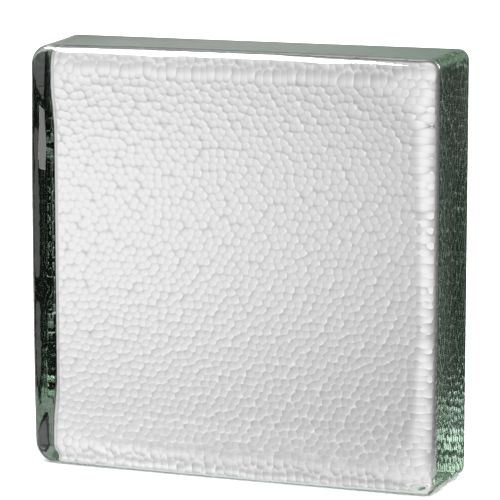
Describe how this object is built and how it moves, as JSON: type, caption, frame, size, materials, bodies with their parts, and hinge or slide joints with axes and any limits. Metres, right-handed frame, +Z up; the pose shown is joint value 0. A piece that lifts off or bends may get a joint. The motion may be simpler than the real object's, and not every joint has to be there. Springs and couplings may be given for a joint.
{
  "type": "glass block",
  "caption": "Solid square block of cast glass with a smooth, softly rounded front and a hammered back, laid on edge in a wall to let light through.",
  "frame": {"origin": "middle of the bottom side, on the floor the block stands on", "axes": "+Z up, X along the width, the smooth front face looks to -Y and the hammered back face to +Y"},
  "size_m": [0.2, 0.05, 0.2],
  "materials": {
    "clear_glass": "clear cast glass with a faint green tint, polished front, hammered back"
  },
  "bodies": {
    "root": {"glass_block": "clear_glass"}
  },
  "joints": []
}
